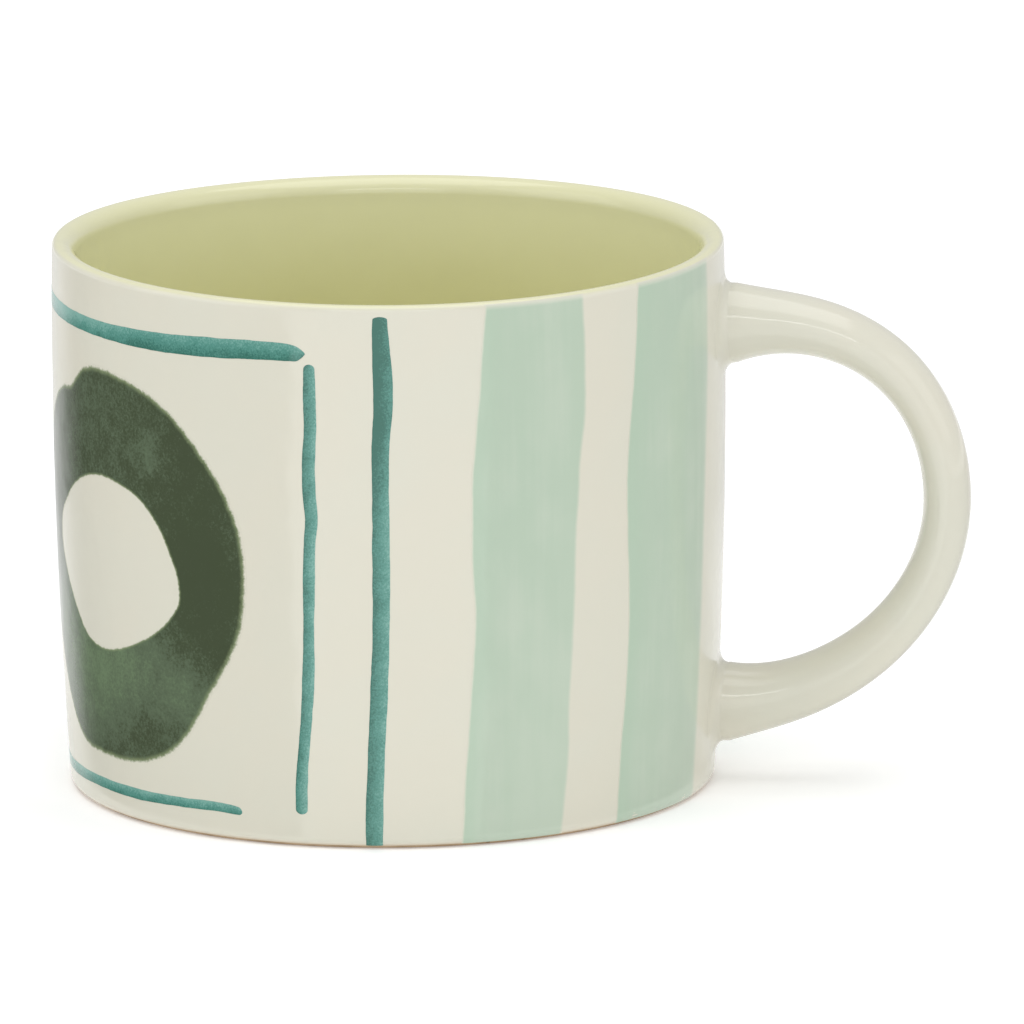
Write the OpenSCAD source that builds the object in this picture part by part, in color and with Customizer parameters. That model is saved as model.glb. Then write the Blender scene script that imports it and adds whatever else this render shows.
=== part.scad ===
// Hand-painted stoneware mug with a looped handle.
// The cup's axis is Z, its foot stands on Z = 0 and the handle points along +X.
// The painted side faces -Y, and the other side is its mirror image.

/* [Cup] */
// Height from the foot to the top of the lip
cup_h = 74; // [70:1:80]
// Outer diameter at the widest point
belly_d = 90.4; // [88:0.2:94]
// Outer diameter that the wall's curve has at the foot
base_d = 86.8; // [85:0.2:87.6]
// Height of the widest point as a share of the cup's height
belly_at = 0.78; // [0.72:0.02:0.84]
// Wall thickness with both glazes, which is also the width of the round lip
wall_t = 3.2; // [2.8:0.1:4]
// Radius of the lip's outer curve. The inner curve takes up the rest of the wall's thickness
lip_out_r = 0.9; // [0.8:0.1:1.6]
// Height of the drinking side of the floor above the table
floor_h = 5; // [4.6:0.1:7]
// Radius of the inside corner between floor and wall
corner_r = 7; // [4:0.5:10]

/* [Foot] */
// Radius of the rounded edge under the wall
foot_round = 1.5; // [1.3:0.1:2.5]
// Width of the flat ring that the mug stands on
foot_w = 3; // [2:0.5:5]
// Depth of the hollow inside the foot ring
recess_h = 1.8; // [1:0.1:2.4]
// Height at which the glaze stops above the table
bare_h = 0.5; // [0.4:0.1:0.8]

/* [Handle] */
// Height of the upper root
upper_root_z = 62.2; // [60:0.2:63.6]
// Height of the lower root
lower_root_z = 10.5; // [10:0.1:12]
// Distance from the cup's axis to the outermost stretch of the handle's centreline
reach = 75; // [70:0.2:80]
// Diameter of the upper root
upper_root_d = 10.7; // [9:0.1:11]
// Diameter of the lower root
lower_root_d = 10.6; // [9:0.1:11]
// Thickness of the handle at its outermost stretch
grip_t = 6.4; // [5.5:0.1:7.5]
// Width of the handle at its outermost stretch
grip_w = 9.8; // [8.5:0.1:11]
// Radius of the slip fillet round each root
fillet_r = 1.5; // [1.2:0.1:1.8]

/* [Glaze and colour] */
// Thickness of each glaze coat
glaze_t = 0.4; // [0.3:0.05:0.5]
// Depth to which the painted colours melt into the glaze
paint_t = 0.2; // [0.15:0.01:0.25]
// Angle above the horizontal at which the inside glaze ends on the lip's outer curve
join_angle = 45; // [20:5:60]
// Width of the full-height teal lines
line_w = 2.3; // [1.5:0.1:3]
// Height of the ring's outline
ring_d = 52.8; // [46:0.2:54]

/* [Hidden] */
$fn = 96;

// The wall
belly_r = belly_d / 2;
base_r = base_d / 2;
belly_z = belly_at * cup_h;
lip_in_r = wall_t - lip_out_r;
lip_z = cup_h - lip_out_r;
lip_in_z = cup_h - lip_in_r;
lip_c = wall_r(lip_z) - lip_out_r;
wall_steps = 8;
arc_steps = 6;
foot_c = wall_r(foot_round) - foot_round;
bare_foot_r = foot_round - glaze_t;
corner_z = floor_h + corner_r;
corner_c = wall_r(corner_z) - wall_t - corner_r;

// The handle's centreline: two Bezier curves that meet at the outermost stretch
grip_z = 39;
grip_pull = 14;
shoulder = [64.8, 66.2];
elbow = [62.5, 11.3];
upper_curve = [[43, upper_root_z], shoulder, [reach, grip_z + grip_pull], [reach, grip_z]];
lower_curve = [[reach, grip_z], [reach, grip_z - grip_pull], elbow, [42.5, lower_root_z]];
upper_s = 0.066;
lower_s = 1.936;
blend_s = 0.25;
upper_flare = 0.6;
lower_flare = 0.4;
handle_rings = 36;
handle_sides = 20;

// The painting, with angles turned from -Y towards +X
teal_line_at = 3.3;
band_edges = [[18.7, 38.6], [49.4, 74.4]];
band_z = [bare_h + 0.1, lip_z - 0.1];
teal_line_z = [bare_h + 0.1, cup_h - 1.5];
frame_side_at = -9.2;
frame_top_z = [65.7, 68.2];
frame_foot_z = [3.5, 4.9];
frame_foot_end = -22.3;
frame_side_z = [4.8, 65.5];
frame_side_w = 1.6;
ring_at = -53.5;
ring_z = 35.1;
ring_points = 48;
// A depth is [inner, outer]: the paint fills [paint_t, 0], and its pocket runs out past the surface
paint_depth = [paint_t, 0];
pocket_depth = [paint_t, -1];

ivory = [0.88, 0.86, 0.80];
clay = [0.79, 0.71, 0.60];
yellow_green = [0.73, 0.72, 0.50];
mint = [0.71, 0.79, 0.71];
teal = [0.36, 0.56, 0.52];
dark_green = [0.27, 0.33, 0.24];

function arc(c, r, from, to) =
    [for (i = [0:arc_steps]) let (a = from + (to - from) * i / arc_steps) [c[0] + r * cos(a), c[1] + r * sin(a)]];
function steps(from, to, n) = [for (i = [0:n]) from + (to - from) * i / n];
function angle_at(z, centre_z, r) = asin((z - centre_z) / r);

// The glazed outside of the wall is a shallow parabola in its height
function wall_r(z) = belly_r - (belly_r - base_r) * pow((belly_z - z) / belly_z, 2);
function outside(inset) = [for (z = steps(foot_round, lip_z, wall_steps)) [wall_r(z) - inset, z]];
// The inside wall stops one step short, where the lip's inner curve starts
function inside(inset) =
    [for (z = steps(corner_z, lip_in_z, wall_steps)) if (z < lip_in_z) [wall_r(z) - wall_t + inset, z]];
function outer_lip(inset, from, to) = arc([lip_c, lip_z], lip_out_r - inset, from, to);
function inner_lip(inset, from, to) = arc([lip_c, lip_in_z], lip_in_r - inset, from, to);
function corner(inset) = arc([corner_c, corner_z], corner_r + inset, -90, 0);
function bare_foot(from) = arc([foot_c, bare_foot_r], bare_foot_r, from, 0);
function glazed_foot() = arc([foot_c, foot_round], foot_round, angle_at(bare_h, foot_round, foot_round), 0);
function reversed(list) = [for (i = [len(list) - 1:-1:0]) list[i]];

// Underside and outside of the bare clay, from the axis up to the lip
function clay_outside() = concat(
    [[0, recess_h], [foot_c - foot_w - recess_h, recess_h], [foot_c - foot_w, 0]],
    bare_foot(-90), outside(glaze_t));

module clay_core() {
    rotate_extrude() polygon(concat(clay_outside(), [[0, lip_z]]));
}

module cup_body() {
    color(clay) rotate_extrude() polygon(concat(
        clay_outside(), outer_lip(glaze_t, 0, 90), inner_lip(glaze_t, 90, 180),
        reversed(inside(glaze_t)), reversed(corner(glaze_t)), [[0, floor_h - glaze_t]]));
}

// Inside glaze, which runs over the lip and ends on its outer curve
module liner_glaze() {
    color(yellow_green) rotate_extrude() polygon(concat(
        [[0, floor_h]], corner(0), inside(0), inner_lip(0, 180, 90), outer_lip(0, 90, join_angle),
        outer_lip(glaze_t, join_angle, 90), inner_lip(glaze_t, 90, 180),
        reversed(inside(glaze_t)), reversed(corner(glaze_t)), [[0, floor_h - glaze_t]]));
}

// A layer of the outside glaze between two depths, over the sector that starts at an angle
module glaze_sector(start, sweep, z_range, inner, outer) {
    rows = steps(z_range[0], z_range[1], wall_steps);
    rotate([0, 0, start - 90]) rotate_extrude(angle = sweep) polygon(concat(
        [for (z = rows) [wall_r(z) - outer, z]],
        [for (z = reversed(rows)) [wall_r(z) - inner, z]]));
}

module mint_band_pair(depth) {
    for (edge = band_edges)
        glaze_sector(edge[0], edge[1] - edge[0], band_z, depth[0], depth[1]);
}

module teal_line(depth) {
    sweep = line_w / belly_r * 180 / PI;
    glaze_sector(teal_line_at - sweep / 2, sweep, teal_line_z, depth[0], depth[1]);
}

module frame_side(depth) {
    sweep = frame_side_w / belly_r * 180 / PI;
    glaze_sector(frame_side_at - sweep / 2, sweep, frame_side_z, depth[0], depth[1]);
}

// The top and bottom strokes run round the side of the cup that faces away from the handle
module frame_strokes(depth) {
    glaze_sector(-180 - frame_side_at, 180 + 2 * frame_side_at, frame_top_z, depth[0], depth[1]);
    glaze_sector(-180 - frame_foot_end, 180 + 2 * frame_foot_end, frame_foot_z, depth[0], depth[1]);
}

// Outline of a hand-painted ring, laid flat and then shortened to its view along the radius
function flat_ring_r(t) = ring_d / 2 * (1 + 0.02 * cos(2 * t) - 0.01 * sin(3 * t));
function flat_hole_r(t) = 13.2 + 1.8 * cos(2 * t) - 0.9 * cos(3 * t);
function seen_point(r, t) = [belly_r * sin(r * cos(t) / belly_r * 180 / PI), ring_z + r * sin(t)];

module ring_outline() {
    angles = [for (i = [0:ring_points - 1]) 360 * i / ring_points];
    difference() {
        polygon([for (t = angles) seen_point(flat_ring_r(t), t)]);
        polygon([for (t = angles) seen_point(flat_hole_r(t), t)]);
    }
}

module ring(depth) {
    intersection() {
        glaze_sector(ring_at - 40, 80, [4, 66], depth[0], depth[1]);
        rotate([0, 0, ring_at]) rotate([90, 0, 0]) linear_extrude(belly_r + 10) ring_outline();
    }
}

module both_sides() {
    children();
    mirror([0, 1, 0]) children();
}

module mint_bands() { color(mint) both_sides() mint_band_pair(paint_depth); }
module teal_lines() { color(teal) both_sides() teal_line(paint_depth); }
module front_ring() { color(dark_green) ring(paint_depth); }
module back_ring() { color(dark_green) mirror([0, 1, 0]) ring(paint_depth); }

module teal_frame() {
    color(teal) {
        both_sides() frame_side(paint_depth);
        frame_strokes(paint_depth);
    }
}

module root_opening(root_z, root_d) {
    translate([0, 0, root_z]) rotate([0, 90, 0]) cylinder(r = root_d / 2 + fillet_r, h = belly_d);
}

module outer_glaze() {
    color(ivory) difference() {
        rotate_extrude() polygon(concat(
            glazed_foot(), outside(0), outer_lip(0, 0, join_angle), outer_lip(glaze_t, join_angle, 0),
            reversed(outside(glaze_t)), reversed(bare_foot(angle_at(bare_h, bare_foot_r, bare_foot_r)))));
        root_opening(upper_end()[1], upper_root_d);
        root_opening(lower_end()[1], lower_root_d);
        both_sides() {
            mint_band_pair(pocket_depth);
            teal_line(pocket_depth);
            frame_side(pocket_depth);
            ring(pocket_depth);
        }
        frame_strokes(pocket_depth);
    }
}

// Centreline point and slope at s, which runs 0 to 1 on the upper curve and 1 to 2 on the lower one
function bezier(p, t) =
    pow(1 - t, 3) * p[0] + 3 * pow(1 - t, 2) * t * p[1] + 3 * (1 - t) * t * t * p[2] + t * t * t * p[3];
function bezier_slope(p, t) =
    pow(1 - t, 2) * (p[1] - p[0]) + 2 * (1 - t) * t * (p[2] - p[1]) + t * t * (p[3] - p[2]);
function centre(s) = s < 1 ? bezier(upper_curve, s) : bezier(lower_curve, s - 1);
function slope(s) = s < 1 ? bezier_slope(upper_curve, s) : bezier_slope(lower_curve, s - 1);
function upper_end() = centre(upper_s);
function lower_end() = centre(lower_s);

// Each end's section stands upright, and the next ones turn until they are square to the centreline
function turn(s) = min(1, (s - upper_s) / blend_s, (lower_s - s) / blend_s);
function direction(s) = let (d = slope(s), a = atan2(d[1], d[0])) s > 1 && a > 0 ? a - 360 : a;
function heading(s) = let (root = s < 1 ? 0 : -180) root + (direction(s) - root) * turn(s);
// The handle thickens gently towards a root, and then swells close to the wall
function root_share(s) =
    let (near = s < 1 ? (1 - s) / (1 - upper_s) : (s - 1) / (lower_s - 1))
    let(flare = s < 1 ? upper_flare : lower_flare)
    (1 - flare) * pow(near, 2) + flare * pow(near, 12);
function root_d(s) = s < 1 ? upper_root_d : lower_root_d;
function half_t(s) = (grip_t + (root_d(s) - grip_t) * root_share(s)) / 2;
function half_w(s) = (grip_w + (root_d(s) - grip_w) * root_share(s)) / 2;
function section(s, inset) =
    let (c = centre(s), h = heading(s))
    [for (i = [0:handle_sides - 1]) let (a = 360 * i / handle_sides, up = (half_t(s) - inset) * cos(a))
        [c[0] - up * sin(h), (half_w(s) - inset) * sin(a), c[1] + up * cos(h)]];
function sweep_points(inset) =
    [for (s = steps(upper_s, lower_s, handle_rings)) each section(s, inset)];

// Triangles between rings of points, facing outwards or, flipped, inwards
function side_faces(first, flipped) =
    [for (k = [0:handle_rings - 1], i = [0:handle_sides - 1])
        let (a = first + k * handle_sides + i, b = first + k * handle_sides + (i + 1) % handle_sides)
        each flipped ? [[a, a + handle_sides, b], [b, a + handle_sides, b + handle_sides]]
                     : [[a, b, a + handle_sides], [b, b + handle_sides, a + handle_sides]]];

module handle() {
    last = handle_rings * handle_sides;
    around = [for (i = [0:handle_sides - 1]) i];
    color(clay) polyhedron(sweep_points(glaze_t), concat(
        side_faces(0, false), [reversed(around)], [[for (i = around) last + i]]));
}

module handle_glaze() {
    last = handle_rings * handle_sides;
    core = last + handle_sides;
    color(ivory) polyhedron(concat(sweep_points(0), sweep_points(glaze_t)), concat(
        side_faces(0, false), side_faces(core, true),
        [for (i = [0:handle_sides - 1]) let (j = (i + 1) % handle_sides)
            each [[i, core + i, j], [j, core + i, core + j],
                  [last + i, last + j, core + last + i], [last + j, core + last + j, core + last + i]]]));
}

// A pad of slip between the wall and the end of the handle, smoothed out into a round fillet
module joint_slip(end, root_d) {
    color(clay) difference() {
        translate([end[0], 0, end[1]]) rotate([0, 90, 0]) rotate_extrude() polygon(concat(
            [[0, 0], [0, -3 * fillet_r], [root_d / 2 + fillet_r, -3 * fillet_r]],
            arc([root_d / 2 + fillet_r, 0], fillet_r, -90, -180)));
        clay_core();
    }
}

module upper_joint_slip() { joint_slip(upper_end(), upper_root_d); }
module lower_joint_slip() { joint_slip(lower_end(), lower_root_d); }

cup_body();
handle();
upper_joint_slip();
lower_joint_slip();
liner_glaze();
outer_glaze();
handle_glaze();
mint_bands();
teal_lines();
teal_frame();
front_ring();
back_ring();
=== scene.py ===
"""Looks of a hand-painted stoneware mug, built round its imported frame.

Lengths are in metres and angles in degrees. An angle on the cup is turned from -Y, the painted
side, towards +X, the handle. A height on the cup's outside is measured along its surface, so it
runs on round the lip and the foot.
"""

import math

import bmesh
import bpy
import numpy as np
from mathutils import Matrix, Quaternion, Vector, noise


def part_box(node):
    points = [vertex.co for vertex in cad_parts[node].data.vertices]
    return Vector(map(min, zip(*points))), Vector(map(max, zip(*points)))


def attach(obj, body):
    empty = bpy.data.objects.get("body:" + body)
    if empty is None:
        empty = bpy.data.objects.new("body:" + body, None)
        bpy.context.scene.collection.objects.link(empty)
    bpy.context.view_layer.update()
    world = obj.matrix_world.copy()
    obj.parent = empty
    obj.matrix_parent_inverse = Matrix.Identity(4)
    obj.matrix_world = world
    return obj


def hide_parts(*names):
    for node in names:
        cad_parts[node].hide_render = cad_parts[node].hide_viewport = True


MM = 0.001

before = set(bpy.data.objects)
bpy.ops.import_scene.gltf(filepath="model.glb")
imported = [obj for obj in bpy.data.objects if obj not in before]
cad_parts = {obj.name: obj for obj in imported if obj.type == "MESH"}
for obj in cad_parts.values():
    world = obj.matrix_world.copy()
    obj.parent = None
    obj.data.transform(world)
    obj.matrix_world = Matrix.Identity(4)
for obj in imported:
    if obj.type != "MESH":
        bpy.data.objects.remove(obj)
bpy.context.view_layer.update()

# ---------------------------------------------------------------- sizes from the frame

liner_low, liner_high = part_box("liner_glaze")
outer_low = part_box("outer_glaze")[0]
handle_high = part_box("handle_glaze")[1]
cup_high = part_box("cup_body")[1]

CUP_H = liner_high.z
GLAZE_T = CUP_H - cup_high.z
FLOOR_Z = liner_low.z + GLAZE_T
BARE_Z = outer_low.z


def coordinates(node):
    """The vertices of a CAD node, one row each."""
    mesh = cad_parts[node].data
    flat = np.zeros(len(mesh.vertices) * 3, np.float32)
    mesh.vertices.foreach_get("co", flat)
    return flat.reshape(-1, 3).astype(float)


def wall_curve():
    """The parabola that gives the radius of the cup's outside at a height.

    It is fitted to the outermost vertices of the CAD's glaze."""
    above_foot, below_lip = 2 * MM, 1.1 * MM
    tolerance = 0.02 * MM
    points = coordinates("outer_glaze")
    radius, height = np.hypot(points[:, 0], points[:, 1]), points[:, 2]
    straight = (height > above_foot) & (height < CUP_H - below_lip)
    radius, height = radius[straight], height[straight]
    for _ in range(6):
        curve = np.polyfit(height, radius, 2)
        outermost = radius > np.polyval(curve, height) - tolerance
        radius, height = radius[outermost], height[outermost]
    return curve


WALL_CURVE = wall_curve()
WALL_T = 3.2 * MM
LIP_R = 0.9 * MM
LIP_IN_R = WALL_T - LIP_R
LIP_Z = CUP_H - LIP_R
LIP_IN_Z = CUP_H - LIP_IN_R
LIP_JOIN = 45.0
FOOT_ROUND = 1.5 * MM
FOOT_W = 3 * MM
RECESS_H = 1.8 * MM
CORNER_R = 7 * MM
CORNER_Z = FLOOR_Z + CORNER_R


def wall_r(z):
    """The radius of the glazed outside at a height above the table."""
    return np.polyval(WALL_CURVE, z)


# The potter's hand: the cup is a little oval, and its rim is higher at the sides than in front and behind
OVAL, OVAL_AT = 0.11 * MM, 61.0
THREE_LOBES, THREE_AT = 0.05 * MM, 10.0
RIM_WAVE, RIM_WAVE_AT = 0.22 * MM, 101.0


def place(angle, r, z):
    """Points at an angle, a radius and a height on the cup, with its slight unevenness."""
    angle, r, z = np.broadcast_arrays(angle, r, z)
    share = np.clip(z / CUP_H, 0, 1)
    oval = OVAL * np.cos(np.radians(2 * (angle - OVAL_AT)))
    lobes = oval + THREE_LOBES * np.cos(np.radians(3 * (angle - THREE_AT)))
    r = r + lobes * share * np.clip(r / LIP_Z, 0, 1)
    z = z + RIM_WAVE * np.cos(np.radians(2 * (angle - RIM_WAVE_AT))) * share**6
    a = np.radians(angle)
    return np.stack([r * np.sin(a), -r * np.cos(a), z], -1)


def outside(height, lift=0.0):
    """Radius and height above the table of a point on the glazed outside, lifted off it by lift."""
    height, lift = np.broadcast_arrays(np.asarray(height, float), np.asarray(lift, float))
    up = np.clip((height - LIP_Z) / LIP_R, 0, None)
    down = np.clip((height - FOOT_ROUND) / FOOT_ROUND, None, 0)
    lip_c, foot_c = wall_r(LIP_Z) - LIP_R, wall_r(FOOT_ROUND) - FOOT_ROUND
    on_lip, in_foot = height > LIP_Z, height < FOOT_ROUND
    r = np.where(on_lip, lip_c + (LIP_R + lift) * np.cos(up), wall_r(height) + lift)
    r = np.where(in_foot, foot_c + (FOOT_ROUND + lift) * np.cos(down), r)
    z = np.where(on_lip, LIP_Z + (LIP_R + lift) * np.sin(up), height)
    z = np.where(in_foot, FOOT_ROUND + (FOOT_ROUND + lift) * np.sin(down), z)
    return r, z


def on_cup(angle, height, lift=0.0):
    """Points on the glazed outside of the cup."""
    r, z = outside(height, lift)
    return place(angle, r, z)


GLAZE_TOP = LIP_Z + LIP_R * math.radians(LIP_JOIN)
GLAZE_FOOT = FOOT_ROUND + FOOT_ROUND * math.asin((BARE_Z - FOOT_ROUND) / FOOT_ROUND)
PER_DEGREE = wall_r(CUP_H / 2) * math.pi / 180

# ---------------------------------------------------------------- meshes


def make_piece(name, vertices, faces, material, replaced, values=None, sharp=35.0):
    """A piece that stands for CAD nodes, smooth but for edges sharper than an angle.

    values holds the mesh's attributes, with one number for each vertex."""
    mesh = bpy.data.meshes.new(name)
    mesh.from_pydata([tuple(v) for v in vertices], [], faces)
    for key, numbers in (values or {}).items():
        attribute = mesh.attributes.new(key, "FLOAT", "POINT")
        attribute.data.foreach_set("value", np.asarray(numbers, np.float32).ravel())
    shape = bmesh.new()
    shape.from_mesh(mesh)
    bmesh.ops.recalc_face_normals(shape, faces=shape.faces)
    shape.to_mesh(mesh)
    shape.free()
    mesh.shade_smooth()
    mesh.set_sharp_from_angle(angle=math.radians(sharp))
    mesh.materials.append(material)
    piece = bpy.data.objects.new(name, mesh)
    bpy.context.scene.collection.objects.link(piece)
    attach(piece, "root")
    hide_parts(*replaced)
    return piece


def ring_faces(rings, count, first=0, closed=False):
    """Quads between rings of points. A closed stack joins its last ring to its first."""
    faces = []
    for k in range(rings if closed else rings - 1):
        low, high = first + k * count, first + (k + 1) % rings * count
        faces += [(low + i, low + (i + 1) % count, high + (i + 1) % count, high + i) for i in range(count)]
    return faces


def arc(centre, radius, start, end, count):
    """Points (radius, height) on an arc."""
    a = np.radians(np.linspace(start, end, count))
    return np.stack([centre[0] + radius * np.cos(a), centre[1] + radius * np.sin(a)], 1)


TURNS = 240


def lathe(name, outline, material, replaced, path=None, closed=False):
    """A solid of revolution. An open outline starts and ends on the axis.

    path, where it is given, is one number for each point of the outline."""
    angles = np.arange(TURNS) * 360 / TURNS
    rings = outline if closed else outline[1:-1]
    points = place(angles[None, :], rings[:, :1], rings[:, 1:]).reshape(-1, 3)
    faces = ring_faces(len(rings), TURNS, closed=closed)
    marks = None if path is None else np.repeat(path if closed else path[1:-1], TURNS)
    if not closed:
        poles = [(0, 0, outline[0][1]), (0, 0, outline[-1][1])]
        first, last, top = len(points), len(points) + 1, len(points) - TURNS
        points = np.vstack([points, poles])
        faces += [(first, (i + 1) % TURNS, i) for i in range(TURNS)]
        faces += [(last, top + i, top + (i + 1) % TURNS) for i in range(TURNS)]
        marks = None if path is None else np.append(marks, [path[0], path[-1]])
    values = None if marks is None else {"path": marks}
    return make_piece(name, points, faces, material, replaced, values)


# Paint stands this much proud of the glaze, and its solid goes this deep into it
PAINT_LIFT = 0.02 * MM
PAINT_DEPTH = 0.15 * MM


def skin(name, patches, material, replaced):
    """A thin closed solid on the cup for each patch.

    A patch is (angle, height, marks, closed). The first two are grids of rows and columns, and
    marks has a grid for each attribute. closed joins the last row to the first."""
    vertices, faces, values = [], [], {}
    for angle, height, marks, closed in patches:
        rows, columns = angle.shape
        top, under = on_cup(angle, height, PAINT_LIFT), on_cup(angle, height, -PAINT_DEPTH)
        first = sum(len(v) for v in vertices)
        vertices += [top.reshape(-1, 3), under.reshape(-1, 3)]
        below = rows * columns
        for k in range(rows if closed else rows - 1):
            for i in range(columns - 1):
                a, b = first + k * columns + i, first + (k + 1) % rows * columns + i
                faces += [(a, a + 1, b + 1, b), (below + a, below + b, below + b + 1, below + a + 1)]
            for i in (0, columns - 1):
                a, b = first + k * columns + i, first + (k + 1) % rows * columns + i
                faces.append((a, b, below + b, below + a))
        if not closed:
            for k in (0, rows - 1):
                for i in range(columns - 1):
                    a = first + k * columns + i
                    faces.append((a, a + 1, below + a + 1, below + a))
        for key, grid in marks.items():
            values.setdefault(key, []).append(np.concatenate([grid.ravel(), grid.ravel()]))
    joined = {key: np.concatenate(parts) for key, parts in values.items()}
    return make_piece(name, np.vstack(vertices), faces, material, replaced, joined, sharp=30.0)


def wander(points, size, seed):
    """Smooth noise from -1 to 1 at positions given in metres, with bumps about size across."""
    slant = 0.37 * seed
    values = [noise.noise(Vector((p / size, seed, slant))) for p in np.ravel(points)]
    return np.array(values).reshape(np.shape(points))


def smooth_curve(stations, at):
    """A smooth curve through a few chosen stations, whose first column is the position.

    It gives the other columns at each position in at."""
    table = np.array(sorted(stations), float)
    x, columns = table[:, 0], table[:, 1:]
    slopes = np.gradient(columns, x, axis=0)
    k = np.clip(np.searchsorted(x, at, side="right") - 1, 0, len(x) - 2)
    span = x[k + 1] - x[k]
    t = np.clip((at - x[k]) / span, 0, 1)[:, None]
    rise = span[:, None]
    return (
        (1 + 2 * t) * (1 - t) ** 2 * columns[k]
        + t * (1 - t) ** 2 * rise * slopes[k]
        + t * t * (3 - 2 * t) * columns[k + 1]
        + t * t * (t - 1) * rise * slopes[k + 1]
    )


# ---------------------------------------------------------------- materials


class Shader:
    """A glaze's node tree, with a short call for each kind of node that the materials use."""

    def __init__(self, name, roughness, specular=0.5):
        self.material = bpy.data.materials.new(name)
        self.material.use_nodes = True
        self.tree = self.material.node_tree
        self.surface = self.tree.nodes["Principled BSDF"]
        self.surface.inputs["Roughness"].default_value = roughness
        self.surface.inputs["Specular IOR Level"].default_value = specular

    def set(self, socket, value):
        if isinstance(value, bpy.types.NodeSocket):
            self.tree.links.new(value, socket)
        elif isinstance(value, tuple) and len(value) == 3 and socket.type == "RGBA":
            socket.default_value = (*value, 1.0)
        else:
            socket.default_value = value

    def node(self, kind, inputs=(), **settings):
        made = self.tree.nodes.new(kind)
        for key, value in settings.items():
            setattr(made, key, value)
        for key, value in dict(inputs).items():
            self.set(made.inputs[key], value)
        return made

    def position(self, stretch=(1.0, 1.0, 1.0)):
        where = self.node("ShaderNodeTexCoord").outputs["Object"]
        if stretch == (1.0, 1.0, 1.0):
            return where
        return self.node("ShaderNodeMapping", {"Vector": where, "Scale": stretch}).outputs["Vector"]

    def attribute(self, name):
        return self.node("ShaderNodeAttribute", attribute_name=name).outputs["Fac"]

    def noise(self, size, detail=2.0, stretch=(1.0, 1.0, 1.0), roughness=0.5):
        inputs = {
            "Vector": self.position(stretch),
            "Scale": 1 / size,
            "Detail": detail,
            "Roughness": roughness,
        }
        return self.node("ShaderNodeTexNoise", inputs).outputs["Fac"]

    def math(self, operation, a, b=0.0, clamp=False):
        return self.node("ShaderNodeMath", {0: a, 1: b}, operation=operation, use_clamp=clamp).outputs[0]

    def span(self, value, low, high, to_low=0.0, to_high=1.0):
        """value from low to high, smoothly turned into to_low to to_high."""
        inputs = {"Value": value, "From Min": low, "From Max": high, "To Min": to_low, "To Max": to_high}
        return self.node("ShaderNodeMapRange", inputs, interpolation_type="SMOOTHSTEP").outputs["Result"]

    def mix(self, share, a, b):
        made = self.node("ShaderNodeMix", data_type="RGBA")
        for socket, value in (("Factor_Float", share), ("A_Color", a), ("B_Color", b)):
            self.set(next(s for s in made.inputs if s.identifier == socket), value)
        return next(s for s in made.outputs if s.identifier == "Result_Color")

    def bump(self, height, distance, strength=1.0):
        made = self.node("ShaderNodeBump", {"Height": height, "Distance": distance, "Strength": strength})
        self.tree.links.new(made.outputs["Normal"], self.surface.inputs["Normal"])

    def colour(self, value):
        self.set(self.surface.inputs["Base Color"], value)

    def roughness(self, value):
        self.set(self.surface.inputs["Roughness"], value)


IVORY = (0.666, 0.654, 0.556)
IVORY_WARM = (0.674, 0.653, 0.552)
SPECK = (0.16, 0.12, 0.08)
LIP_PALE = (0.710, 0.700, 0.455)
YELLOW_GREEN = (0.735, 0.723, 0.408)
YELLOW_GREEN_DEEP = (0.720, 0.707, 0.390)
# Pale yellow-green of the upper inside wall: thinner glaze, with painted light where more light falls in at
# the open top
YELLOW_GREEN_THIN_AND_LIT = (0.810, 0.810, 0.530)
TEAL_DARK = (0.038, 0.145, 0.112)
TEAL_MID = (0.090, 0.270, 0.225)
TEAL_LIGHT = (0.200, 0.410, 0.355)
MINT = (0.445, 0.550, 0.437)
MINT_STRONG = (0.425, 0.545, 0.425)
MINT_PALE = (0.500, 0.585, 0.478)
GREEN_DARK = (0.056, 0.074, 0.040)
GREEN_MID = (0.098, 0.134, 0.082)
GREEN_LIGHT = (0.138, 0.202, 0.112)
GREEN_FRINGE = (0.250, 0.310, 0.165)
CLAY = (0.560, 0.430, 0.290)
CLAY_DARK = (0.430, 0.310, 0.190)


def ivory_colour(shader):
    """The ivory glaze's colour: faint warm clouds and a very few dark iron specks."""
    clouds = shader.span(shader.noise(14 * MM, 3.0), 0.35, 0.65)
    ground = shader.mix(clouds, IVORY, IVORY_WARM)
    cells = shader.node("ShaderNodeTexVoronoi", {"Vector": shader.position(), "Scale": 1 / (7 * MM)})
    small = shader.span(cells.outputs["Distance"], 0.014, 0.024, 1.0, 0.0)
    chosen = shader.span(shader.noise(11 * MM, 0.0), 0.66, 0.69)
    return shader.mix(shader.math("MULTIPLY", small, chosen), ground, SPECK)


# The roughness of the glaze where it shines most and least
GLOSSIEST, DULLEST = 0.09, 0.16


def glaze_gloss(shader):
    """Satin gloss: a slightly uneven shine and the faint waviness of a dipped glaze."""
    shader.roughness(shader.span(shader.noise(5 * MM, 2.0), 0.3, 0.7, GLOSSIEST, DULLEST))
    broad = shader.noise(6 * MM, 1.0)
    fine = shader.math("MULTIPLY", shader.noise(1.6 * MM, 2.0), 0.12)
    shader.bump(shader.math("ADD", broad, fine), 0.10 * MM)


def ivory_material():
    """Ivory glaze, which takes up the inside glaze's yellow where the two meet at the lip."""
    shader = Shader("ivory_glaze", 0.2)
    glaze = ivory_colour(shader)
    near_lip = shader.span(shader.attribute("path"), GLAZE_TOP - 0.5 * MM, GLAZE_TOP, 0.0, 0.35)
    glaze = shader.mix(near_lip, glaze, LIP_PALE)
    near_foot = shader.span(shader.attribute("path"), GLAZE_FOOT, GLAZE_FOOT + 0.5 * MM, 0.5, 0.0)
    shader.colour(shader.mix(near_foot, glaze, CLAY))
    glaze_gloss(shader)
    return shader.material


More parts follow.
